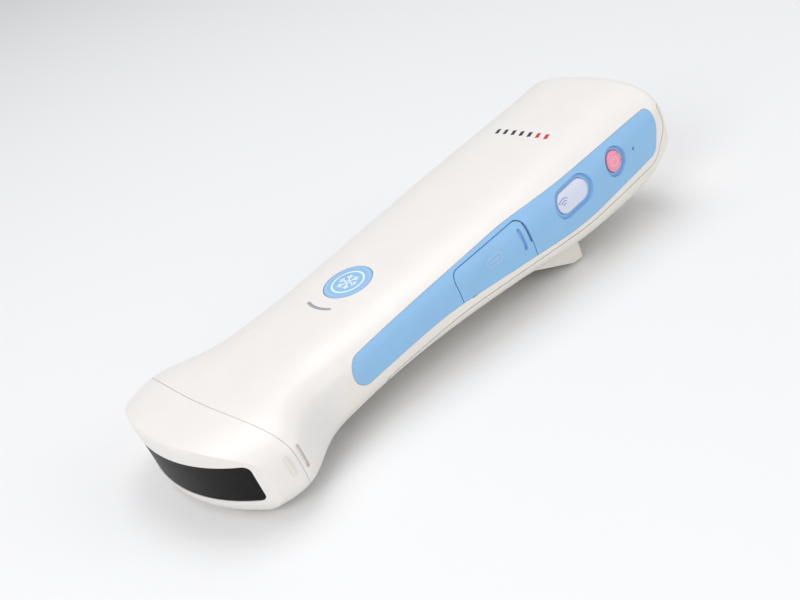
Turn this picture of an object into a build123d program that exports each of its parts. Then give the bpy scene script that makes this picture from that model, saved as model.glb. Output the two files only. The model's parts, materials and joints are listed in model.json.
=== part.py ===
from build123d import *
import math
import os

# Wireless hand-held ultrasound scanner with a convex head, a slide-off battery pack on its
# back and its buttons along one side.  Millimetres.  The parts are drawn in casing axes:
# X runs from the head (-X) to the tail (+X), Z comes out of the front face, the button side
# faces -Y.  The finished set is then laid down on its back.

# ---- Driving dimensions ---------------------------------------------------------------
LENGTH = 219.5
HEAD_X, TAIL_X = -LENGTH / 2, LENGTH / 2
NOSE_RADIUS = 63.0            # plan radius of the head's front face
TAIL_RADIUS = 150.0           # plan radius of the tail's end face
TAIL_ROUND = 4.0              # rounding between the tail's end face and the sides
WALL = 2.6
SKIN = 1.4                    # thickness of the inlaid side panels
FIT_GAP = 0.12                # gap round an inlaid piece
BODY_GAP = 0.35               # gap between bodies that move apart
TOP_POWER, BOTTOM_POWER = 3.2, 3.8     # how square the cross-section is
SECTION_POINTS = 24
EVEN_STEPS = 24                # steps along the casing's loft
# Cross-sections along the casing: x, half width, top, bottom
STATIONS = (
    (-114, 30.0, 5.6, -21.4),
    (-104, 35.2, 5.9, -22.1),
    (-97, 38.2, 5.9, -22.6),
    (-91, 39.0, 5.8, -22.9),
    (-84.5, 38.7, 5.6, -23.1),
    (-79, 35.4, 5.3, -23.1),
    (-73, 31.7, 4.9, -23.1),
    (-67, 29.2, 4.4, -23.1),
    (-60, 28.4, 3.7, -23.0),
    (-40, 28.4, 2.3, -22.9),
    (-15, 29.4, 1.6, -24.6),
    (15, 31.5, 0.9, -28.3),
    (50, 33.6, 0.25, -34.4),
    (75, 33.4, 0.05, -36.9),
    (90, 33.0, 0.0, -37.4),
    (97, 32.8, -0.1, -35.8),
    (104, 32.6, -0.3, -31.5),
    (114, 32.2, -0.8, -24.0),
)

# Head
SEAM_X, SEAM_RADIUS = -91.8, 210.0     # bowed joint between head and handle
LENS_HALF_WIDTH, LENS_TOP, LENS_BOTTOM, LENS_CORNER = 33.9, -0.6, -14.4, 2.2
LENS_FRONT, MATCHING_FRONT, ARRAY_FRONT, BACKING_FRONT, BACKING_REAR = 62.8, 60.8, 60.0, 59.4, 50.4
STACK_HALF_WIDTH, STACK_MARGIN = 31.5, 1.2
HOLDER_FRONT, HOLDER_REAR = 60.0, 49.6

# Front face
FREEZE_X, FREEZE_RADIUS, FREEZE_THICK, FREEZE_TRAVEL = -26.1, 8.7, 2.7, 0.6
ARC_MARK_RADIUS, ARC_MARK_WIDTH, ARC_MARK_HALF_ANGLE = 14.6, 1.2, 24

# Button side
POWER_X, POWER_Z, POWER_RADIUS, POWER_RECESS = 74.2, -13.0, 3.85, 5.5
MODE_X, MODE_Z, MODE_LENGTH, MODE_HEIGHT = 50.4, -11.6, 15.6, 7.8
MODE_RECESS_LENGTH, MODE_RECESS_HEIGHT = 19.8, 10.8
BUTTON_SUNK, BUTTON_TRAVEL, BUTTON_GAP = 0.7, 0.8, 0.2
RECESS_DEPTH, CUP_DEPTH, CUP_RIM = 1.3, 2.5, 1.0
LED_X, LED_Z, LED_RADIUS = 84.4, -14.2, 0.6
SWITCH_PLANE_Y = -24.0                 # outer face of the button board

# Charging port behind the hinged cover
COVER_LEFT, COVER_RIGHT, COVER_TOP = -7.0, 26.7, -4.0
COVER_SLACK = 0.35             # how much thinner the cover is than the panel round it
BAY = (-2.0, 22.0, -14.4, -5.0)        # x from, x to, z from, z to
BAY_FLOOR_Y, BAY_WALL = -24.0, 1.3
PORT_X, PORT_Z, PORT_WIDTH, PORT_HEIGHT, PORT_DEPTH = 10.0, -9.6, 9.0, 3.2, 7.2

# Battery pack
PACK_FRONT_X = -44.0
PACK_FLOOR = 1.2
RIDGE_FRONT_X, RIDGE_TIP_X, RIDGE_TIP_Z, RIDGE_FLAT = 30.0, 50.8, -42.137, 2.2
RIDGE_HALF_WIDTH, RIDGE_DROP = 24.0, 8.0

# Boards
BOARD = (-50.0, 90.0, 20.0, -7.6, -6.0)     # x from, x to, half width, z from, z to
POST_RADIUS, SCREW_RADIUS = 2.5, 0.95
NECK_POSTS = ((-52.5, 19.5), (-52.5, -19.5))
BOARD_POSTS = ((-42.0, 17.0), (-42.0, -17.0), (86.0, 17.0), (86.0, -17.0))

# Lying on its back, the scanner rests on the nose's lower edge and on the ridge
LAY_DOWN = 7.34               # degrees that the tail is raised by

FAR = 140.0


# ---- Drawing helpers ------------------------------------------------------------------
def rounded(*corners):
    """Closed outline through corners (a, b, radius), each rounded by its own radius."""
    edges, joints = [], []
    count = len(corners)
    for i, (a, b, radius) in enumerate(corners):
        here = Vector(a, b)
        before = Vector(*corners[i - 1][:2])
        after = Vector(*corners[(i + 1) % count][:2])
        back, ahead = (before - here).normalized(), (after - here).normalized()
        half = math.radians(back.get_angle(ahead)) / 2
        if radius == 0:
            joints.append((here, here, here))
            continue
        run = radius / math.tan(half)
        centre = here + (back + ahead).normalized() * (radius / math.sin(half))
        middle = centre + (here - centre).normalized() * radius
        joints.append((here + back * run, middle, here + ahead * run))
    for i, (start, middle, end) in enumerate(joints):
        if (end - start).length > 0:
            edges.append(ThreePointArc(start, middle, end))
        edges.append(Line(end, joints[(i + 1) % count][0]))
    return make_face(edges)


def block(x0, x1, y0, y1, z0, z1):
    return Pos((x0 + x1) / 2, (y0 + y1) / 2, (z0 + z1) / 2) * Box(x1 - x0, y1 - y0, z1 - z0)


def across(face):
    """Prism through the whole width from an outline drawn in X and Z."""
    return extrude(Plane.XZ * face, FAR, both=True)


def into_side(face):
    """Prism through the button side only, from an outline drawn in X and Z."""
    return extrude(Plane.XZ * face, FAR)


def stadium(x, z, length, height):
    return Pos(x, z) * SlotOverall(length, height)


# ---- Casing surface -------------------------------------------------------------------
def even_stations():
    """The stations' smooth curves read again at even steps, which keeps the loft even."""
    slopes = []
    for i, here in enumerate(STATIONS):
        before, after = STATIONS[max(i - 1, 0)], STATIONS[min(i + 1, len(STATIONS) - 1)]
        slopes.append([(after[k] - before[k]) / (after[0] - before[0]) for k in (1, 2, 3)])
    first, last = STATIONS[0][0], STATIONS[-1][0]
    resampled = []
    for step in range(EVEN_STEPS + 1):
        x = first + (last - first) * step / EVEN_STEPS
        i = max(j for j in range(len(STATIONS) - 1) if STATIONS[j][0] <= x)
        here, after = STATIONS[i], STATIONS[i + 1]
        span = after[0] - here[0]
        u = (x - here[0]) / span
        values = [
            here[k] * (1 + 2 * u) * (1 - u) ** 2 + after[k] * u * u * (3 - 2 * u)
            + span * (slopes[i][k - 1] * u * (1 - u) ** 2 - slopes[i + 1][k - 1] * u * u * (1 - u))
            for k in (1, 2, 3)]
        resampled.append((x, *values))
    return resampled


def cross_section(x, half_width, top, bottom, inset):
    half_width, top, bottom = half_width - inset, top - inset, bottom + inset
    middle = (top + bottom) / 2
    points = []
    for i in range(SECTION_POINTS):
        angle = 2 * math.pi * i / SECTION_POINTS
        c, s = math.cos(angle), math.sin(angle)
        power = TOP_POWER if s >= 0 else BOTTOM_POWER
        reach = (abs(c) ** power + abs(s) ** power) ** (-1 / power)
        points.append((half_width * c * reach, middle + (top - middle) * s * reach))
    plane = Plane(origin=(x, 0, 0), x_dir=(0, 1, 0), z_dir=(1, 0, 0))
    evenly = [i / SECTION_POINTS for i in range(SECTION_POINTS + 1)]
    outline = Edge.make_spline([Vector(*point) for point in points], periodic=True, parameters=evenly)
    return plane * make_face(outline)


def nose_block(inset):
    """Round block whose rim is the head's front face: crisp above, well rounded below."""
    rim = NOSE_RADIUS - inset
    upper, lower, far = 2.2, 8.2, 60.0
    rim_top, rim_bottom = 4.0 - inset, -14.8
    profile = make_face([
        Line((0, -far), (rim - lower, -far)),
        Line((rim - lower, -far), (rim - lower, rim_bottom - lower)),
        RadiusArc((rim - lower, rim_bottom - lower), (rim, rim_bottom), -lower),
        Line((rim, rim_bottom), (rim, rim_top)),
        RadiusArc((rim, rim_top), (rim - upper, rim_top + upper), -upper),
        Line((rim - upper, rim_top + upper), (rim - upper, far)),
        Line((rim - upper, far), (0, far)),
        Line((0, far), (0, -far)),
    ])
    return Pos(HEAD_X + NOSE_RADIUS, 0, 0) * revolve(Plane.XZ * profile, axis=Axis.Z)


def casing(inset=0.0):
    """The casing as one solid, shrunk by inset all round."""
    solid = loft([cross_section(*station, inset) for station in even_stations()])
    solid = solid & (nose_block(inset) + block(-40, FAR, -70, 70, -70, 70))
    tail = Pos(TAIL_X - inset - TAIL_RADIUS, 0, 0) * Cylinder(TAIL_RADIUS, 200)
    solid = solid & tail
    if inset == 0:
        solid = fillet([e for e in solid.edges() if e.center().X > 100], TAIL_ROUND)
    return solid


OUTER = casing()
INNER = casing(WALL)


def side_layer(face, deep_from, deep_to):
    """Piece of the button side's skin inside an outline, between two depths."""
    prism = into_side(face) & block(-FAR, FAR, -60, -20, -60, 20)
    return (prism & Pos(0, deep_from, 0) * OUTER) - Pos(0, deep_to, 0) * OUTER


def side_skin(face, core):
    """Piece of the button side's skin inside an outline, down to a shrunken casing."""
    return ((into_side(face) & OUTER) - core) & block(-FAR, FAR, -60, -10, -60, 20)


def top_layer(face, deep_from, deep_to):
    """Piece of the front face's skin inside a plan outline, between two depths."""
    prism = extrude(Pos(0, 0, -12) * face, 30)
    return (prism & Pos(0, 0, -deep_from) * OUTER) - Pos(0, 0, -deep_to) * OUTER


# ---- Outlines that divide the casing --------------------------------------------------
def head_zone(shift=0.0):
    """Everything ahead of the bowed head seam."""
    reach = 45.0
    sag = SEAM_RADIUS - math.sqrt(SEAM_RADIUS ** 2 - reach ** 2)
    seam = SEAM_X + shift
    face = make_face([
        ThreePointArc((seam + sag, -reach), (seam, 0), (seam + sag, reach)),
        Line((seam + sag, reach), (-FAR, reach)),
        Line((-FAR, reach), (-FAR, -reach)),
        Line((-FAR, -reach), (seam + sag, -reach)),
    ])
    return extrude(Pos(0, 0, -60) * face, 90)


def rear_zone():
    """Below the joint of front and rear housings, which the side panels cover."""
    return across(rounded(
        (-59.6, -70, 0), (-59.6, -7.5, 2.2), (-48, -7.5, 0), (95, -14, 0),
        (100.5, -8.4, 0), (FAR, -8.4, 0), (FAR, -70, 0)))


def pack_zone(gap):
    """The battery pack's share of the casing; a positive gap makes it smaller."""
    return across(rounded(
        (PACK_FRONT_X + gap, -70, 0), (PACK_FRONT_X + gap, -17.2 - gap, 1.4),
        (-8, -17.6 - gap, 150), (54, -25.2 - gap, 150), (94.5, -26.3 - gap, 8),
        (103.4 + gap, -17 - gap, 8), (103.4 + gap, -8.4 - gap, 0.8),
        (FAR, -8.4 - gap, 0), (FAR, -70, 0)))


def panel_face():
    return rounded(
        (-54.6, -2.6, 5.3), (20, -3.0, 200), (46, -4.6, 200), (99.8, -6.5, 2.6),
        (100.0, -13.6, 14), (95.4, -23.1, 4.5), (50, -23.2, 150), (-13, -13.7, 150),
        (-54.6, -13.2, 5.2))


def cover_face(grow=0.0):
    return rounded(
        (COVER_LEFT - grow, COVER_TOP + grow, 3.6), (COVER_RIGHT + grow, COVER_TOP - 0.5 + grow, 3.2),
        (COVER_RIGHT + grow, -32, 0), (COVER_LEFT - grow, -32, 0))


parts = {}
PANEL = panel_face()
PANEL_SEAT = offset(PANEL, FIT_GAP)
SKIN_CORE = casing(SKIN)
RIGHT_SEAT = (into_side(PANEL_SEAT) - SKIN_CORE) & block(-FAR, FAR, -60, -10, -60, 20)
LEFT_SEAT = mirror(RIGHT_SEAT, Plane.XZ)
bay_x0, bay_x1, bay_z0, bay_z1 = BAY
BAY_POCKET = block(bay_x0, bay_x1, -40, BAY_FLOOR_Y, bay_z0, bay_z1)
BAY_BOX = block(bay_x0 - BAY_WALL, bay_x1 + BAY_WALL, -40, BAY_FLOOR_Y + BAY_WALL,
                bay_z0 - BAY_WALL, bay_z1 + BAY_WALL)


def button_side_cuts():
    """Openings that the panel's cups, the caps and the status light need in the housings."""
    cups = [
        side_layer(stadium(MODE_X, MODE_Z, MODE_RECESS_LENGTH + 2 * CUP_RIM + 0.3,
                           MODE_RECESS_HEIGHT + 2 * CUP_RIM + 0.3), -1, 6),
        side_layer(Pos(POWER_X, POWER_Z) * Circle(POWER_RECESS + CUP_RIM + 0.15), -1, 6),
        side_layer(Pos(LED_X, LED_Z) * Circle(LED_RADIUS + 0.1), -1, 6),
    ]
    return cups


# ---- Head -----------------------------------------------------------------------------
NOSE_CENTRE_X = HEAD_X + NOSE_RADIUS


def window_face(grow=0.0):
    height = LENS_TOP - LENS_BOTTOM + 2 * grow
    return Pos(0, (LENS_TOP + LENS_BOTTOM) / 2) * RectangleRounded(
        2 * (LENS_HALF_WIDTH + grow), height, LENS_CORNER + grow)


def forward_prism(face):
    """Prism towards the nose from an outline drawn in Y and Z."""
    plane = Plane(origin=(-82, 0, 0), x_dir=(0, -1, 0), z_dir=(-1, 0, 0))
    return extrude(plane * face, 60)


def curved_layer(front, rear):
    """Part-cylinder between two radii about the head's centre line."""
    ring = Cylinder(front, 60) - Cylinder(rear, 60)
    return Pos(NOSE_CENTRE_X, 0, -8) * ring


def stack_prism(margin):
    top, bottom = LENS_TOP - STACK_MARGIN + margin, LENS_BOTTOM + STACK_MARGIN - margin
    face = Pos(0, (top + bottom) / 2) * Rectangle(2 * (STACK_HALF_WIDTH + margin), top - bottom)
    return forward_prism(face)


def build_head():
    head = (OUTER & head_zone()) - INNER - forward_prism(window_face())
    parts["head_shell"] = head
    parts["acoustic_lens"] = curved_layer(LENS_FRONT, MATCHING_FRONT) & forward_prism(window_face(-FIT_GAP))
    parts["matching_layer"] = curved_layer(MATCHING_FRONT, ARRAY_FRONT) & stack_prism(0)
    parts["piezo_array"] = curved_layer(ARRAY_FRONT, BACKING_FRONT) & stack_prism(0)
    parts["backing_block"] = curved_layer(BACKING_FRONT, BACKING_REAR) & stack_prism(0)
    holder = curved_layer(HOLDER_FRONT, HOLDER_REAR) & forward_prism(window_face(1.0)) & head_zone(-2.8)
    parts["array_holder"] = (holder & casing(WALL + 0.2)) - stack_prism(0.15)
    lip = (INNER - casing(WALL + 1.2)) & (head_zone(2.5) - head_zone(-2.5))
    parts["head_gasket"] = lip
    rib_z, rib_length = -6.6, 7.4
    parts["marker_rib"] = side_layer(stadium_upright(-91.2, rib_z, rib_length, 1.2), -0.4, 0.0)


def stadium_upright(x, z, length, width):
    return Pos(x, z) * Rot(0, 0, 90) * SlotOverall(length, width)


# ---- Housings -------------------------------------------------------------------------
def post(x, y, z_from, z_to, bore):
    height = z_to - z_from
    solid = Cylinder(POST_RADIUS, height) - Cylinder(bore, height)
    return Pos(x, y, (z_from + z_to) / 2) * solid


def freeze_circle(radius):
    return Pos(FREEZE_X, 0) * Circle(radius)


def arc_mark_face():
    ring = Circle(ARC_MARK_RADIUS + ARC_MARK_WIDTH / 2) - Circle(ARC_MARK_RADIUS - ARC_MARK_WIDTH / 2)
    spread = math.tan(math.radians(ARC_MARK_HALF_ANGLE)) * 40
    wedge = make_face(Polyline((0, 0), (-40, spread), (-40, -spread), close=True))
    return Pos(FREEZE_X, 0) * (ring & wedge)


def build_front_shell():
    shell = OUTER - head_zone(0.15) - rear_zone() - INNER
    shell = shell - RIGHT_SEAT - LEFT_SEAT
    shell = shell + (BAY_BOX & INNER) - BAY_POCKET
    shell = shell - block(PORT_X - PORT_WIDTH / 2 - 0.15, PORT_X + PORT_WIDTH / 2 + 0.15, -30, -20,
                          PORT_Z - PORT_HEIGHT / 2 - 0.15, PORT_Z + PORT_HEIGHT / 2 + 0.15)
    for cut in button_side_cuts():
        shell = shell - cut
    shell = shell - top_layer(freeze_circle(FREEZE_RADIUS + BUTTON_GAP), -3, 8)
    shell = shell - top_layer(arc_mark_face(), -1, 0.3)
    shell = shell - side_layer(stadium_upright(-86.0, -7.4, 8.6, 1.3), -1, 0.8)
    floor = -18.8
    for x, y in NECK_POSTS:
        shell = shell + (post(x, y, floor, 3, SCREW_RADIUS + 0.05) & INNER)
    for x, y in BOARD_POSTS:
        shell = shell + (post(x, y, BOARD[4], 3, SCREW_RADIUS + 0.05) & INNER)
    parts["front_shell"] = shell


def build_rear_frame():
    frame = (OUTER & rear_zone()) - pack_zone(0) - INNER
    frame = frame - RIGHT_SEAT - LEFT_SEAT - BAY_BOX
    for cut in button_side_cuts():
        frame = frame - cut
    for x, y in NECK_POSTS:
        frame = frame - Pos(x, y, -20) * Cylinder(SCREW_RADIUS + 0.2, 12)
        frame = frame - Pos(x, y, -24.8) * Cylinder(2.1, 8)
    parts["rear_frame"] = frame
    tray = (pack_zone(-1.8) - pack_zone(-0.4)) & INNER
    tray = tray & block(-47, 120, -40, 40, -60, 20)
    parts["chassis_tray"] = tray - block(-47, -30, -9, 9, -25, -17.0)


def build_side_panels():
    plain = side_skin(PANEL, SKIN_CORE)
    parts["side_panel_left"] = mirror(plain, Plane.XZ)
    panel = plain - into_side(cover_face(BODY_GAP))
    mode_cup = stadium(MODE_X, MODE_Z, MODE_RECESS_LENGTH + 2 * CUP_RIM, MODE_RECESS_HEIGHT + 2 * CUP_RIM)
    power_cup = Pos(POWER_X, POWER_Z) * Circle(POWER_RECESS + CUP_RIM)
    panel = panel + side_layer(mode_cup, SKIN / 2, CUP_DEPTH) + side_layer(power_cup, SKIN / 2, CUP_DEPTH)
    panel = panel - side_layer(stadium(MODE_X, MODE_Z, MODE_RECESS_LENGTH, MODE_RECESS_HEIGHT), -1, RECESS_DEPTH)
    panel = panel - side_layer(Pos(POWER_X, POWER_Z) * Circle(POWER_RECESS), -1, RECESS_DEPTH)
    panel = panel - into_side(stadium(MODE_X, MODE_Z, MODE_LENGTH + 2 * BUTTON_GAP, MODE_HEIGHT + 2 * BUTTON_GAP))
    panel = panel - into_side(Pos(POWER_X, POWER_Z) * Circle(POWER_RADIUS + BUTTON_GAP))
    panel = panel - into_side(Pos(LED_X, LED_Z) * Circle(LED_RADIUS + 0.05))
    parts["side_panel_right"] = panel
    parts["status_light"] = side_layer(Pos(LED_X, LED_Z) * Circle(LED_RADIUS), 0.05, 4.0)
    parts["arc_mark"] = top_layer(arc_mark_face(), 0, 0.3)


# ---- Buttons --------------------------------------------------------------------------
def build_buttons():
    power = Pos(POWER_X, POWER_Z) * Circle(POWER_RADIUS)
    mode = stadium(MODE_X, MODE_Z, MODE_LENGTH, MODE_HEIGHT)
    parts["power_button"] = side_layer(power, BUTTON_SUNK, 4.2)
    parts["mode_button"] = side_layer(mode, BUTTON_SUNK, 4.2)
    parts["freeze_button"] = top_layer(freeze_circle(FREEZE_RADIUS), 0, FREEZE_THICK)
    board_thick = 1.2
    board_y = SWITCH_PLANE_Y
    parts["button_board"] = block(40, 90, board_y, board_y + board_thick, -19.5, -7.4)
    switch_face_y = -27.7
    for name, x, z in (("power_switch", POWER_X, POWER_Z), ("mode_switch", MODE_X, MODE_Z)):
        base = block(x - 3, x + 3, -26.2, board_y, z - 3, z + 3)
        plunger_length = -26.2 - switch_face_y
        plunger = Pos(x, switch_face_y + plunger_length / 2, z) * Rot(90, 0, 0) * Cylinder(1.6, plunger_length)
        parts[name] = base + plunger
    key_top = -3.4
    parts["freeze_board"] = block(FREEZE_X - 11, FREEZE_X + 11, -12, 12, key_top - 1.0, key_top)
    dome = Pos(FREEZE_X, 0, key_top + 0.75) * Cylinder(3.0, 1.5)
    parts["freeze_switch"] = dome


# ---- Charging port --------------------------------------------------------------------
def build_port():
    skin = side_skin(cover_face() & PANEL, casing(SKIN - COVER_SLACK))
    lip_gap, lip_wall, lip_depth = 0.5, 1.0, 2.6
    lip = block(bay_x0 + lip_gap, bay_x1 - lip_gap, -60, -20, bay_z0 + lip_gap, bay_z1 - lip_gap)
    lip = lip - block(bay_x0 + lip_gap + lip_wall, bay_x1 - lip_gap - lip_wall, -60, -20,
                      bay_z0 + lip_gap + lip_wall, bay_z1 - lip_gap - lip_wall)
    lip = (lip & Pos(0, SKIN / 2, 0) * OUTER) - Pos(0, lip_depth, 0) * OUTER
    lip = lip & block(-10, 30, -60, -20, -30, 5)
    grip = side_layer(stadium_upright(23.4, -10.8, 8.4, 1.5), -1, 0.8)
    nail = side_layer(stadium_upright(COVER_RIGHT - 0.1, -9.8, 8.0, 1.2), -1, 0.9)
    parts["port_cover"] = skin + lip - grip - nail
    socket = block(PORT_X - PORT_WIDTH / 2, PORT_X + PORT_WIDTH / 2, BAY_FLOOR_Y, BAY_FLOOR_Y + PORT_DEPTH,
                   PORT_Z - PORT_HEIGHT / 2, PORT_Z + PORT_HEIGHT / 2)
    socket = fillet(socket.edges().filter_by(Axis.Y), 1.4)
    metal = 0.3
    inside = block(PORT_X - PORT_WIDTH / 2 + metal, PORT_X + PORT_WIDTH / 2 - metal, BAY_FLOOR_Y - 1,
                   BAY_FLOOR_Y + PORT_DEPTH - metal, PORT_Z - PORT_HEIGHT / 2 + metal,
                   PORT_Z + PORT_HEIGHT / 2 - metal)
    inside = fillet(inside.edges().filter_by(Axis.Y), 1.1)
    parts["port_socket"] = socket - inside
    parts["port_tongue"] = block(PORT_X - 3.3, PORT_X + 3.3, BAY_FLOOR_Y + 1.2,
                                 BAY_FLOOR_Y + PORT_DEPTH - metal, PORT_Z - 0.35, PORT_Z + 0.35)


# ---- Electronics ----------------------------------------------------------------------
def build_electronics():
    x0, x1, half, z0, z1 = BOARD
    board = block(x0, x1, -half, half, z0, z1)
    for x, y in BOARD_POSTS:
        board = board - Pos(x, y, z0) * Cylinder(SCREW_RADIUS + 0.2, 10)
    parts["main_board"] = board
    chip, chip_high = 12.0, 1.3
    for number, x in enumerate((-34.0, -18.0, 28.0, 44.0), start=1):
        parts[f"beamformer_chip_{number}"] = block(x - chip / 2, x + chip / 2, -chip / 2, chip / 2, z0 - chip_high, z0)
    can = block(22, 58, -14, 14, z1, z1 + 1.9) - block(22.3, 57.7, -13.7, 13.7, z1 - 1, z1 + 1.6)
    parts["shield_can"] = can
    parts["processor_chip"] = block(32, 48, -8, 8, z1, z1 + 1.4)
    parts["heat_spreader"] = block(18, 72, -13, 13, z1 + 1.9, z1 + 2.5)
    parts["antenna_board"] = block(91, 99, -14, 14, z0 + 0.4, z0 + 1.2)
    rear_x = NOSE_CENTRE_X - BACKING_REAR
    for name, z, drop in (("array_flex_upper", -4.2, -5.7), ("array_flex_lower", -11.0, -7.9)):
        route = FilletPolyline((rear_x + 0.3, z), (rear_x + 20, z), (x0 - 6, drop), (x0 + 4, drop), radius=4)
        flex = across(trace(route, 0.3)) & block(-110, 0, -13, 13, -30, 10)
        parts[name] = flex & Pos(NOSE_CENTRE_X, 0, -8) * Cylinder(BACKING_REAR - 0.1, 60)
    shaft_long, head_high, head_radius, seat_z = 9.0, 1.2, 1.8, -20.8
    for number, (x, y) in enumerate(BOARD_POSTS, start=1):
        shaft = Pos(x, y, z0 + 2.0) * Cylinder(SCREW_RADIUS, 4.0)
        head = Pos(x, y, z0 - head_high / 2) * Cylinder(head_radius, head_high)
        parts[f"board_screw_{number}"] = shaft + head
    for number, (x, y) in enumerate(NECK_POSTS, start=1):
        shaft = Pos(x, y, seat_z + shaft_long / 2) * Cylinder(SCREW_RADIUS, shaft_long)
        head = Pos(x, y, seat_z - head_high / 2) * Cylinder(head_radius, head_high)
        parts[f"neck_screw_{number}"] = shaft + head
    parts["contact_block"] = block(-51.5, -45.2, -8, 8, -20.1, -17.4)
    for number, y in enumerate((-5.25, -1.75, 1.75, 5.25), start=1):
        parts[f"contact_pin_{number}"] = Pos(-44.65, y, -18.9) * Rot(0, 90, 0) * Cylinder(0.45, 1.1)


# ---- Battery pack ---------------------------------------------------------------------
def ridge():
    """Cross bar on the pack: long ramp towards the head, steep behind, flat tip to stand on."""
    fall = math.tan(math.radians(LAY_DOWN)) * RIDGE_FLAT
    bar = across(rounded(
        (RIDGE_FRONT_X, -24, 0), (RIDGE_FRONT_X, -30.6, 0), (RIDGE_TIP_X, RIDGE_TIP_Z, 0),
        (RIDGE_TIP_X + RIDGE_FLAT, RIDGE_TIP_Z - fall, 0), (RIDGE_TIP_X + RIDGE_FLAT + 0.6, -24, 0)))
    ends = extrude(Pos(42, 0, -60) * RectangleRounded(40, 2 * RIDGE_HALF_WIDTH, 5), 60)
    return bar & ends & Pos(0, 0, -RIDGE_DROP) * OUTER


def build_pack():
    zone = pack_zone(BODY_GAP)
    parts["pack_housing"] = ((OUTER & zone) + ridge()) - INNER
    parts["pack_lid"] = (zone - pack_zone(BODY_GAP + PACK_FLOOR)) & INNER
    for name, x, z, tilt, high in (("battery_cell_1", 50.0, -28.4, 6.4, 3.0),
                                   ("battery_cell_2", 80.0, -30.3, 1.2, 4.2)):
        parts[name] = Pos(x, 0, z) * Rot(0, tilt, 0) * Box(27.5, 35, high)
    parts["protection_board"] = Pos(21, 0, -24.0) * Rot(0, 6, 0) * Box(18, 26, 0.8)


def lay_down(solids):
    """Turn the set onto its back, with the origin under the middle of its box."""
    turned = {name: Rot(0, -LAY_DOWN, 0) * solid for name, solid in solids.items()}
    boxes = [solid.bounding_box() for solid in turned.values()]
    low = [min(tuple(box.min)[i] for box in boxes) for i in range(3)]
    high = [max(tuple(box.max)[i] for box in boxes) for i in range(3)]
    shift = (-(low[0] + high[0]) / 2, -(low[1] + high[1]) / 2, -low[2])
    print("laid down by", LAY_DOWN, "shifted by", [round(v, 4) for v in shift])
    for name in ("head_shell", "pack_housing"):
        print(name, "lowest", round(turned[name].bounding_box().min.Z, 3))
    return {name: Pos(*shift) * solid for name, solid in turned.items()}


build_head()
build_front_shell()
build_rear_frame()
build_side_panels()
build_buttons()
build_port()
build_electronics()
build_pack()
os.makedirs("parts", exist_ok=True)
for name, solid in lay_down(parts).items():
    export_step(solid, f"parts/{name}.step")
    print(name, len(solid.solids()), round(solid.volume))
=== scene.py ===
# Wireless ultrasound scanner lying on its back, dressed for a studio picture.
import json
import math

import bmesh
import bpy
from mathutils import Matrix, Vector
from mathutils.bvhtree import BVHTree


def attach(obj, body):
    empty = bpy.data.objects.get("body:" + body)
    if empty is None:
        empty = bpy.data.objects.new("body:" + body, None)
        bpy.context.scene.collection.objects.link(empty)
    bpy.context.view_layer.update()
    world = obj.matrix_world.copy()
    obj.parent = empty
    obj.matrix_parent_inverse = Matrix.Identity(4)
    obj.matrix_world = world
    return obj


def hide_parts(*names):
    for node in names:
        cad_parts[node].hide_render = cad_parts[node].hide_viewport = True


# The frame comes first. Its nodes give the shapes; the pieces below dress them.
# The casing lies tilted on the floor, so the marks are laid out in the casing's own axes
# and turned the same way.
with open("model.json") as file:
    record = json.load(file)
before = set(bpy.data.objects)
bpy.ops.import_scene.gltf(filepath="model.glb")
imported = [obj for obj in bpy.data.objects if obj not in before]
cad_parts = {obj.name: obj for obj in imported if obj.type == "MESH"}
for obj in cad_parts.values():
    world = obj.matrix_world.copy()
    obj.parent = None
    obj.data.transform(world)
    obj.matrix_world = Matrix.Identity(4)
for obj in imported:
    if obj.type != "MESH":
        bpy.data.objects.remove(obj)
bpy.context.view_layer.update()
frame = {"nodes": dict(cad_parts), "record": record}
nodes = frame["nodes"]
MM = 0.001
LAY_DOWN = math.radians(7.34)
LAID_SHIFT = Vector((-1.2966, 0.1652, 35.3016))
TURN = Matrix.Rotation(-LAY_DOWN, 3, "Y")


def laid(x, y, z):
    """A place in casing axes, in millimetres, as a place in the frame, in metres."""
    return (TURN @ Vector((x, y, z)) + LAID_SHIFT) * MM


# Materials are written as sums: each Sum wraps one node socket and builds Math nodes.
# Every finish shares the same recipe of fine moulding grain, a slow drift of tone, and
# a roughness that wanders a little, all in object coordinates.
class Sum:
    def __init__(self, tree, socket):
        self.tree, self.socket = tree, socket

    def join(self, operation, other, swapped=False):
        node = self.tree.nodes.new("ShaderNodeMath")
        node.operation = operation
        for index, value in enumerate((other, self) if swapped else (self, other)):
            if isinstance(value, Sum):
                self.tree.links.new(value.socket, node.inputs[index])
            else:
                node.inputs[index].default_value = value
        return Sum(self.tree, node.outputs[0])

    def __add__(self, other): return self.join("ADD", other)
    def __radd__(self, other): return self.join("ADD", other, True)
    def __sub__(self, other): return self.join("SUBTRACT", other)
    def __rsub__(self, other): return self.join("SUBTRACT", other, True)
    def __mul__(self, other): return self.join("MULTIPLY", other)
    def __rmul__(self, other): return self.join("MULTIPLY", other, True)
    def __truediv__(self, other): return self.join("DIVIDE", other)
    def __rtruediv__(self, other): return self.join("DIVIDE", other, True)

    def node(self, kind, settings=None, output=0, **values):
        made = self.tree.nodes.new(kind)
        for key, value in (settings or {}).items():
            setattr(made, key, value)
        for key, value in values.items():
            key = key.replace("_", " ")
            if isinstance(value, Sum):
                self.tree.links.new(value.socket, made.inputs[key])
            else:
                made.inputs[key].default_value = value
        return Sum(self.tree, made.outputs[output])


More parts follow.
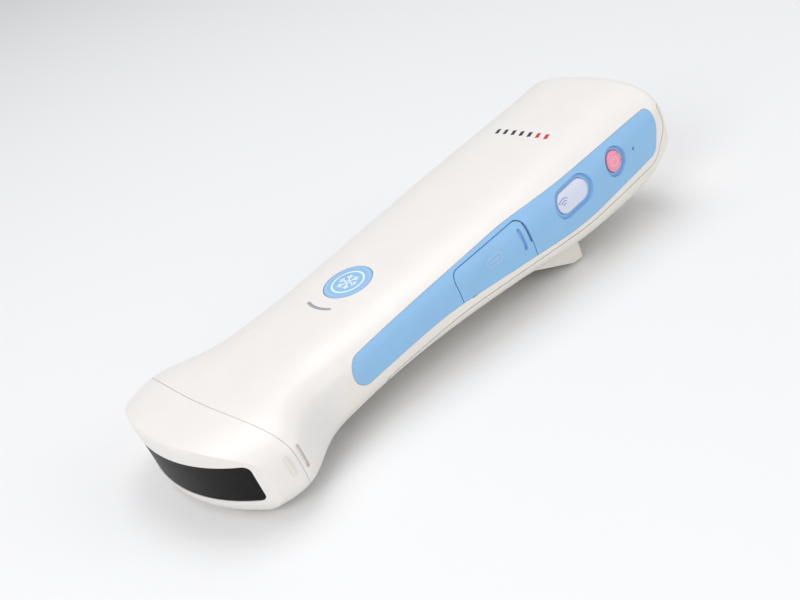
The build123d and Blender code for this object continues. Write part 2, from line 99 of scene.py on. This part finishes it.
class Finish:
    """A procedural finish: colour, how far its tone drifts, roughness, metal and grain."""

    def __init__(self, name, colour, rough, metal=0.0, drift=0.04, grain=0.02, grain_size=0.35,
                 coat=0.0, second=None, patch=9.0, specular=0.5):
        self.material = bpy.data.materials.new(name)
        self.material.use_nodes = True
        tree = self.material.node_tree
        shader = tree.nodes["Principled BSDF"]
        place = Sum(tree, tree.nodes.new("ShaderNodeTexCoord").outputs["Object"])
        slow = place.node("ShaderNodeTexNoise", Vector=place, Scale=1 / (patch * MM), Detail=3.0)
        fine = place.node("ShaderNodeTexNoise", Vector=place, Scale=1 / (grain_size * MM), Detail=2.0)
        other = second or [channel * (1 - 3 * drift) for channel in colour]
        blend = place.node("ShaderNodeMix", {"data_type": "RGBA"}, 2)
        mix = blend.socket.node
        tree.links.new((slow * 1.6 - 0.3).socket, mix.inputs[0])
        mix.inputs[6].default_value = (*colour, 1)
        mix.inputs[7].default_value = (*other, 1)
        mix.clamp_factor = True
        tree.links.new(blend.socket, shader.inputs["Base Color"])
        tree.links.new((fine * 0.10 + slow * 0.06 + (rough - 0.08)).socket, shader.inputs["Roughness"])
        bump = place.node("ShaderNodeBump", Height=fine, Strength=grain, Distance=0.05 * MM)
        tree.links.new(bump.socket, shader.inputs["Normal"])
        shader.inputs["Metallic"].default_value = metal
        shader.inputs["Coat Weight"].default_value = coat
        shader.inputs["Coat Roughness"].default_value = 0.12
        shader.inputs["Specular IOR Level"].default_value = specular


FINISHES = {
    "casing_white": Finish("casing_white", (0.84, 0.81, 0.775), 0.30, drift=0.012, grain=0.10),
    "casing_cream": Finish("casing_cream", (0.84, 0.80, 0.735), 0.32, drift=0.012, grain=0.10),
    "casing_rib": Finish("casing_rib", (0.80, 0.77, 0.71), 0.34, drift=0.015, grain=0.10),
    "marker_grey": Finish("marker_grey", (0.36, 0.34, 0.37), 0.5, drift=0.02),
    "panel_blue": Finish("panel_blue", (0.275, 0.52, 0.80), 0.42, drift=0.02, grain=0.16),
    "lens_black": Finish("lens_black", (0.0035, 0.0035, 0.0045), 0.42, drift=0.05, grain=0.05,
                         specular=0.14),
    "power_pink": Finish("power_pink", (0.93, 0.33, 0.44), 0.42, drift=0.02, grain=0.12),
    "mode_lilac": Finish("mode_lilac", (0.70, 0.73, 0.86), 0.40, drift=0.015, grain=0.12),
    "status_clear": Finish("status_clear", (0.10, 0.20, 0.36), 0.22, drift=0.05, coat=0.4),
    "ceramic": Finish("ceramic", (0.55, 0.52, 0.43), 0.6, drift=0.06, grain=0.3),
    "backing_epoxy": Finish("backing_epoxy", (0.05, 0.05, 0.06), 0.6, drift=0.1, grain=0.3),
    "inner_plastic": Finish("inner_plastic", (0.05, 0.05, 0.055), 0.55, drift=0.08, grain=0.3),
    "seal_rubber": Finish("seal_rubber", (0.07, 0.07, 0.075), 0.7, drift=0.06, grain=0.3),
    "board_green": Finish("board_green", (0.012, 0.115, 0.045), 0.38, drift=0.08,
                          second=(0.03, 0.19, 0.08), patch=2.5),
    "chip_black": Finish("chip_black", (0.02, 0.02, 0.022), 0.48, drift=0.08, grain=0.25),
    "bright_steel": Finish("bright_steel", (0.62, 0.62, 0.64), 0.3, metal=1.0, drift=0.03),
    "heat_metal": Finish("heat_metal", (0.66, 0.67, 0.68), 0.38, metal=1.0, drift=0.04, grain=0.2),
    "flex_amber": Finish("flex_amber", (0.50, 0.23, 0.035), 0.35, drift=0.06),
    "contact_gold": Finish("contact_gold", (0.83, 0.58, 0.22), 0.26, metal=1.0, drift=0.03),
    "cell_foil": Finish("cell_foil", (0.60, 0.62, 0.64), 0.34, metal=0.9, drift=0.05, grain=0.35),
    "print_black": Finish("print_black", (0.02, 0.02, 0.025), 0.45, drift=0.05),
    "print_red": Finish("print_red", (0.62, 0.02, 0.03), 0.45, drift=0.03),
    "print_pale": Finish("print_pale", (0.42, 0.62, 0.82), 0.45, drift=0.02),
    "print_white": Finish("print_white", (0.80, 0.90, 0.97), 0.4, drift=0.02),
    "print_violet": Finish("print_violet", (0.33, 0.36, 0.62), 0.45, drift=0.02),
    "print_rose": Finish("print_rose", (0.98, 0.55, 0.62), 0.4, drift=0.02),
}

# Each CAD piece is taken over by a welded copy with softened edges, so that the light
# runs over moulded corners and there are no facets. The copy keeps the CAD shape.
slots = {part["node"]: part["material_slot"] for part in frame["record"]["subparts"]}
body_of = {node: body for body, names in frame["record"]["behaviour"]["bodies"].items() for node in names}
SOFT_EDGE = {"front_shell": 0.22, "head_shell": 0.22, "rear_frame": 0.2, "pack_housing": 0.35,
             "side_panel_right": 0.22, "side_panel_left": 0.22, "port_cover": 0.22,
             "power_button": 0.5, "mode_button": 0.5, "freeze_button": 0.1,
             "acoustic_lens": 0.3, "marker_rib": 0.15}
SHARP_ANGLE, BEVEL_ANGLE = math.radians(28), math.radians(40)
WELD, PLAIN_EDGE = 0.004 * MM, 0.1
surfaces = {}
for name, node in nodes.items():
    mesh = node.data.copy()
    work = bmesh.new()
    work.from_mesh(mesh)
    bmesh.ops.remove_doubles(work, verts=work.verts, dist=WELD)
    bmesh.ops.dissolve_degenerate(work, edges=work.edges, dist=WELD / 2)
    bmesh.ops.recalc_face_normals(work, faces=work.faces)
    for face in work.faces:
        face.smooth = True
    for edge in work.edges:
        edge.smooth = len(edge.link_faces) == 2 and edge.calc_face_angle(0) < SHARP_ANGLE
    surfaces[name] = BVHTree.FromBMesh(work)
    work.to_mesh(mesh)
    work.free()
    mesh.materials.clear()
    mesh.materials.append(FINISHES[slots[name]].material)
    piece = bpy.data.objects.new("dressed_" + name, mesh)
    bpy.context.scene.collection.objects.link(piece)
    bevel = piece.modifiers.new("soft_edges", "BEVEL")
    bevel.width = SOFT_EDGE.get(name, PLAIN_EDGE) * MM
    bevel.segments = 3 if name in SOFT_EDGE else 1
    bevel.limit_method = "ANGLE"
    bevel.angle_limit = BEVEL_ANGLE
    bevel.use_clamp_overlap = True
    bevel.harden_normals = True
    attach(piece, body_of[name])
    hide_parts(name)


# The printed marks are thin ribbons laid on the skin: the line is walked in short steps,
# each step is dropped onto the surface below it, and the ribbon is lifted a hair above.
# A side mark is drawn in X and Z, a top mark in X and Y.
STEP, LIFT = 0.4, 0.03


def ring(x, y, radius, start=0.0, end=360.0):
    steps = max(8, int(abs(end - start) / 6))
    return [(x + radius * math.cos(math.radians(start + (end - start) * i / steps)),
             y + radius * math.sin(math.radians(start + (end - start) * i / steps)))
            for i in range(steps + 1)]


def printed(name, strokes, width, finish, onto, side, body):
    vertices, faces = [], []
    for stroke in strokes:
        walked = [Vector(stroke[0])]
        for point in stroke[1:]:
            start, point = walked[-1], Vector(point)
            count = max(1, math.ceil((point - start).length / STEP))
            walked += [start.lerp(point, i / count) for i in range(1, count + 1)]
        first = len(vertices)
        for i, here in enumerate(walked):
            along = (walked[min(i + 1, len(walked) - 1)] - walked[max(i - 1, 0)]).normalized()
            aside = Vector((-along.y, along.x)) * width / 2
            for a, b in (here + aside, here - aside):
                start = laid(a, -60, b) if side else laid(a, b, 40)
                down = TURN @ Vector((0, 1, 0) if side else (0, 0, -1))
                spot, normal = surfaces[onto].ray_cast(start, down)[:2]
                if spot is None:
                    raise ValueError(name + " misses " + onto)
                normal = normal if normal.dot(down) < 0 else -normal
                vertices.append(spot + normal * LIFT * MM)
        faces += [(i, i + 1, i + 3, i + 2) for i in range(first, len(vertices) - 2, 2)]
    mesh = bpy.data.meshes.new(name)
    mesh.from_pydata(vertices, [], faces)
    outward = TURN @ Vector((0, -1, 0) if side else (0, 0, 1))
    mesh.update()
    if sum(face.normal.dot(outward) for face in mesh.polygons) < 0:
        mesh.flip_normals()
    mesh.materials.append(FINISHES[finish].material)
    mark = bpy.data.objects.new(name, mesh)
    bpy.context.scene.collection.objects.link(mark)
    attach(mark, body)
    return mark


# Freeze key: a pale ring round a six-armed frost sign.
# The arms are drawn as one stem and two barbs, turned six times about the key's centre.
FREEZE_X = -26.1
arms = []
for turn in range(6):
    a = math.radians(60 * turn + 30)
    out, across = Vector((math.cos(a), math.sin(a))), Vector((-math.sin(a), math.cos(a)))
    hub = Vector((FREEZE_X, 0))
    arms.append([hub + out * 0.4, hub + out * 4.0])
    for sign in (-1, 1):
        arms.append([hub + out * 2.2, hub + out * 3.3 + across * 1.1 * sign])
printed("frost_sign", arms, 0.62, "print_white", "freeze_button", False, "freeze_cap")
printed("frost_ring", [ring(FREEZE_X, 0, 5.7)], 0.7, "print_white", "freeze_button", False,
        "freeze_cap")
printed("freeze_rim", [ring(FREEZE_X, 0, 7.7)], 0.35, "print_pale", "freeze_button", False,
        "freeze_cap")

# Side keys: arcs that spread like a radio signal, and the usual power sign.
# Both are printed, so they keep the keys' satin finish and only change colour.
MODE_SIGN_X, MODE_Z, POWER_X, POWER_Z = 45.6, -12.6, 74.2, -13.0
waves = [ring(MODE_SIGN_X, MODE_Z, radius, 45, 135) for radius in (1.0, 2.0, 3.0)]
printed("signal_sign", waves, 0.38, "print_violet", "mode_button", True, "mode_cap")
power_strokes = [ring(POWER_X, POWER_Z, 1.7, 125, 415),
                 [(POWER_X, POWER_Z + 0.4), (POWER_X, POWER_Z + 2.2)]]
printed("power_sign", power_strokes, 0.36, "print_rose", "power_button", True, "power_cap")

# Port cover: an outline of the socket with its tongue, in a paler blue.
PORT_X, PORT_Z = 10.0, -9.6
half, high = 3.4, 1.6
outline = (ring(PORT_X + half - high, PORT_Z, high, -90, 90)
           + ring(PORT_X - half + high, PORT_Z, high, 90, 270))
printed("port_sign", [outline + outline[:1], [(PORT_X - 1.9, PORT_Z), (PORT_X + 1.9, PORT_Z)]],
        0.36, "print_pale", "port_cover", True, "cover")

# Tail: a row of slanted bars, five dark and two red, where a printed word would be.
# The bars are plain marks and say nothing.
BAR_X, BAR_HIGH, BAR_SLANT, BAR_PITCH, FIRST_BAR_Y = 66.8, 3.0, 0.9, 4.0, 12.6
bars = []
for number in range(7):
    y = FIRST_BAR_Y - BAR_PITCH * number
    bars.append([(BAR_X - BAR_HIGH / 2, y - BAR_SLANT / 2), (BAR_X + BAR_HIGH / 2, y + BAR_SLANT / 2)])
printed("dark_bars", bars[:5], 1.5, "print_black", "front_shell", False, "casing")
printed("red_bars", bars[5:], 1.5, "print_red", "front_shell", False, "casing")

# Small parts on the main board repeat, so a node group sets them out on a grid of points,
# each with its own turn, and the result is kept as a plain mesh.
group = bpy.data.node_groups.new("board_parts", "GeometryNodeTree")
face = group.interface
columns = face.new_socket("Columns", in_out="INPUT", socket_type="NodeSocketInt")
rows = face.new_socket("Rows", in_out="INPUT", socket_type="NodeSocketInt")
seed = face.new_socket("Seed", in_out="INPUT", socket_type="NodeSocketInt")
face.new_socket("Geometry", in_out="OUTPUT", socket_type="NodeSocketGeometry")


def add(kind, **settings):
    made = group.nodes.new(kind)
    for key, value in settings.items():
        setattr(made, key, value)
    return made


given, result = add("NodeGroupInput"), add("NodeGroupOutput")
grid, cube = add("GeometryNodeMeshGrid"), add("GeometryNodeMeshCube")
place, real = add("GeometryNodeInstanceOnPoints"), add("GeometryNodeRealizeInstances")
paint, spin = add("GeometryNodeSetMaterial"), add("FunctionNodeRandomValue", data_type="INT")
turn = add("ShaderNodeMath", operation="MULTIPLY")
angle = add("ShaderNodeCombineXYZ")
GRID_SIDE, SMALL_PART = 30 * MM, (1.6 * MM, 0.8 * MM, 0.6 * MM)
grid.inputs["Size X"].default_value, grid.inputs["Size Y"].default_value = GRID_SIDE, GRID_SIDE
cube.inputs["Size"].default_value = SMALL_PART
paint.inputs["Material"].default_value = FINISHES["ceramic"].material
turn.inputs[1].default_value = math.pi / 2
link = group.links.new
link(given.outputs["Columns"], grid.inputs["Vertices X"])
link(given.outputs["Rows"], grid.inputs["Vertices Y"])
spin.inputs[4].default_value, spin.inputs[5].default_value = 0, 1
link(given.outputs["Seed"], spin.inputs["Seed"])
link(spin.outputs[2], turn.inputs[0])
link(turn.outputs[0], angle.inputs["Z"])
link(grid.outputs["Mesh"], place.inputs["Points"])
link(cube.outputs["Mesh"], place.inputs["Instance"])
link(angle.outputs[0], place.inputs["Rotation"])
link(place.outputs["Instances"], real.inputs["Geometry"])
link(real.outputs["Geometry"], paint.inputs["Geometry"])
link(paint.outputs["Geometry"], result.inputs["Geometry"])
holder = bpy.data.objects.new("board_parts_maker", bpy.data.meshes.new("board_parts_seed"))
bpy.context.scene.collection.objects.link(holder)
maker = holder.modifiers.new("board_parts", "NODES")
maker.node_group = group
COLUMNS, ROWS, SEED = 9, 9, 7
for socket, value in ((columns, COLUMNS), (rows, ROWS), (seed, SEED)):
    maker[socket.identifier] = value
evaluated = holder.evaluated_get(bpy.context.evaluated_depsgraph_get())
small = bpy.data.meshes.new_from_object(evaluated)
bpy.data.objects.remove(holder)
BOARD_SPOT = (-2.0, 0, -5.7)
small.transform(Matrix.Translation(laid(*BOARD_SPOT)) @ TURN.to_4x4())
parts = bpy.data.objects.new("board_parts", small)
bpy.context.scene.collection.objects.link(parts)
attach(parts, "casing")

# Studio: a plain pale floor under a large soft top light, a key from the head's side and
# a low fill, so the shoulder catches one broad highlight.
FLOOR_SIZE, FLOOR_DROP, ROOM_LIGHT = 6.0, 0.2 * MM, 0.56
bpy.ops.mesh.primitive_plane_add(size=FLOOR_SIZE, location=(0, 0, -FLOOR_DROP))
floor = bpy.context.object
floor.name = "studio_floor"
floor.data.materials.append(Finish("floor_pale", (0.86, 0.86, 0.855), 0.6, drift=0.004, patch=200).material)
for name, place, size, power in (
        ("top_light", (0.1, 0.25, 1.1), 0.9, 5.6),
        ("key_light", (-0.85, -0.35, 0.6), 0.5, 3.7),
        ("fill_light", (0.5, -0.9, 0.45), 0.7, 2.0)):
    lamp = bpy.data.lights.new(name, "AREA")
    lamp.size, lamp.energy = size, power
    light = bpy.data.objects.new(name, lamp)
    light.location = place
    light.rotation_euler = (-Vector(place)).to_track_quat("-Z", "Y").to_euler()
    bpy.context.scene.collection.objects.link(light)
world = bpy.data.worlds.new("studio")
world.use_nodes = True
room = world.node_tree.nodes["Background"]
room.inputs["Color"].default_value = (0.95, 0.96, 1.0, 1)
room.inputs["Strength"].default_value = ROOM_LIGHT
bpy.context.scene.world = world
bpy.context.scene.view_settings.view_transform = "Standard"

# Camera, from the fitted view: its place and its own right, up and back directions.
CAMERA_PLACE = Vector((-0.213983, -0.293164, 0.202506))
RIGHT = Vector((0.701306, -0.6598018, -0.2698731))
UP = Vector((0.5012906, 0.1872969, 0.8447648))
BACK = Vector((-0.506831, -0.7277235, 0.4621049))
lens = bpy.data.cameras.new("camera")
lens.lens, lens.sensor_width, lens.clip_start = 52.72, 36.0, 0.01
camera = bpy.data.objects.new("camera", lens)
camera.matrix_world = Matrix.Translation(CAMERA_PLACE) @ Matrix((RIGHT, UP, BACK)).transposed().to_4x4()
bpy.context.scene.collection.objects.link(camera)
bpy.context.scene.camera = camera
